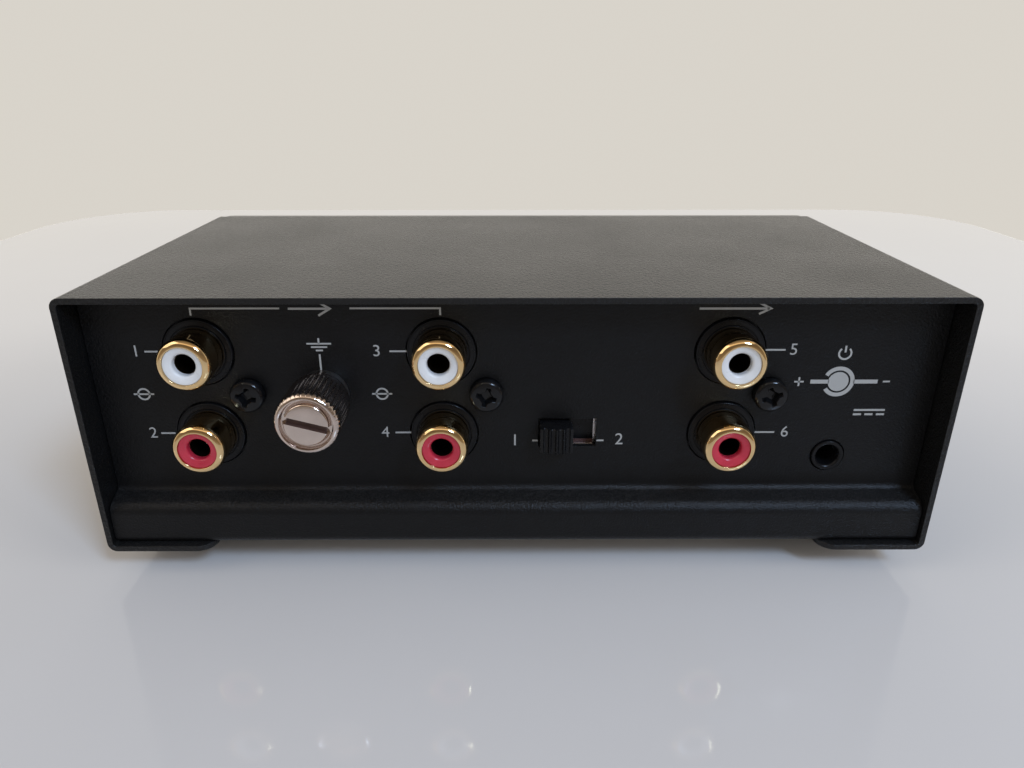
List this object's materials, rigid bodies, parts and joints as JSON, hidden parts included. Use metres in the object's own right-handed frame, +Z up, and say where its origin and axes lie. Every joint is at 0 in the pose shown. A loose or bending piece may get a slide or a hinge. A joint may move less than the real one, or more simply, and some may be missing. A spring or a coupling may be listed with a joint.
{
  "type": "phono preamp",
  "caption": "Small black sheet metal phono preamp with a recessed rear panel: gold stacked phono sockets, knurled ground thumbscrew, slide switch and power inlet.",
  "frame": {"origin": "on the surface that the feet stand on, under the middle of the whole part's box", "axes": "+Z up, +Y out of the rear panel with the sockets, +X to the left as seen from behind"},
  "size_m": [0.135, 0.0776, 0.0479],
  "materials": {
    "case_black": "fine textured black powder coat",
    "fascia_black": "satin black",
    "gold": "polished gold plating",
    "housing_black": "moulded black plastic",
    "insert_white": "glossy white plastic",
    "insert_red": "glossy red plastic",
    "screw_black": "black zinc",
    "screw_steel": "zinc plated",
    "nickel": "turned and nickel plated",
    "frame_steel": "bright tin plate",
    "laminate_brown": "brown paper laminate",
    "knob_black": "moulded black plastic",
    "board_green": "green solder resist",
    "brass": "plain brass",
    "chip_black": "moulded epoxy",
    "can_dark": "sleeved can",
    "film_red": "dipped film",
    "resistor_tan": "lacquered",
    "rubber": "moulded black rubber",
    "lens": "water-clear resin"
  },
  "bodies": {
    "root": {"cover": "case_black", "chassis": "case_black", "front_panel": "fascia_black", "front_screws": "screw_steel", "power_light": "lens", "jack_housing_input_1": "housing_black", "jack_housing_input_2": "housing_black", "jack_housing_output": "housing_black", "shell_input_1_left": "gold", "shell_input_1_right": "gold", "shell_input_2_left": "gold", "shell_input_2_right": "gold", "shell_output_left": "gold", "shell_output_right": "gold", "insert_input_1_left": "insert_white", "insert_input_1_right": "insert_red", "insert_input_2_left": "insert_white", "insert_input_2_right": "insert_red", "insert_output_left": "insert_white", "insert_output_right": "insert_red", "contact_input_1_left": "brass", "contact_input_1_right": "brass", "contact_input_2_left": "brass", "contact_input_2_right": "brass", "contact_output_left": "brass", "contact_output_right": "brass", "jack_screws": "screw_black", "ground_bush": "nickel", "ground_nut": "nickel", "ground_tag": "nickel", "switch_frame": "frame_steel", "switch_base": "laminate_brown", "switch_pins": "frame_steel", "power_inlet": "housing_black", "inlet_contacts": "frame_steel", "main_board": "board_green", "board_spacers": "brass", "board_screws": "screw_steel", "op_amps": "chip_black", "electrolytic_capacitors": "can_dark", "film_capacitors": "film_red", "resistors": "resistor_tan", "regulators": "chip_black", "feet": "rubber", "foot_screws": "screw_steel", "clinch_nuts": "screw_steel"},
    "switch_slider": {"switch_knob": "knob_black"},
    "ground_washer_body": {"ground_washer": "nickel"},
    "ground_screw": {"ground_thumbscrew": "nickel"}
  },
  "joints": [
    {"name": "switch_slide", "type": "slide", "parent": "root", "child": "switch_slider", "axis": [-1, 0, 0], "range_m": [0, 0.0037]},
    {"name": "ground_lift", "type": "slide", "parent": "root", "child": "ground_washer_body", "axis": [0, 1, 0], "range_m": [0, 0.0028]},
    {"name": "ground_turn", "type": "hinge", "parent": "ground_washer_body", "child": "ground_screw", "pos_m": [0.03045, 0.027, 0.031], "axis": [0, 1, 0], "range_deg": [0, 1440]}
  ],
  "couplings": [
    {"joint": "ground_turn", "follows": "ground_lift", "rad_per_m": 8976}
  ]
}
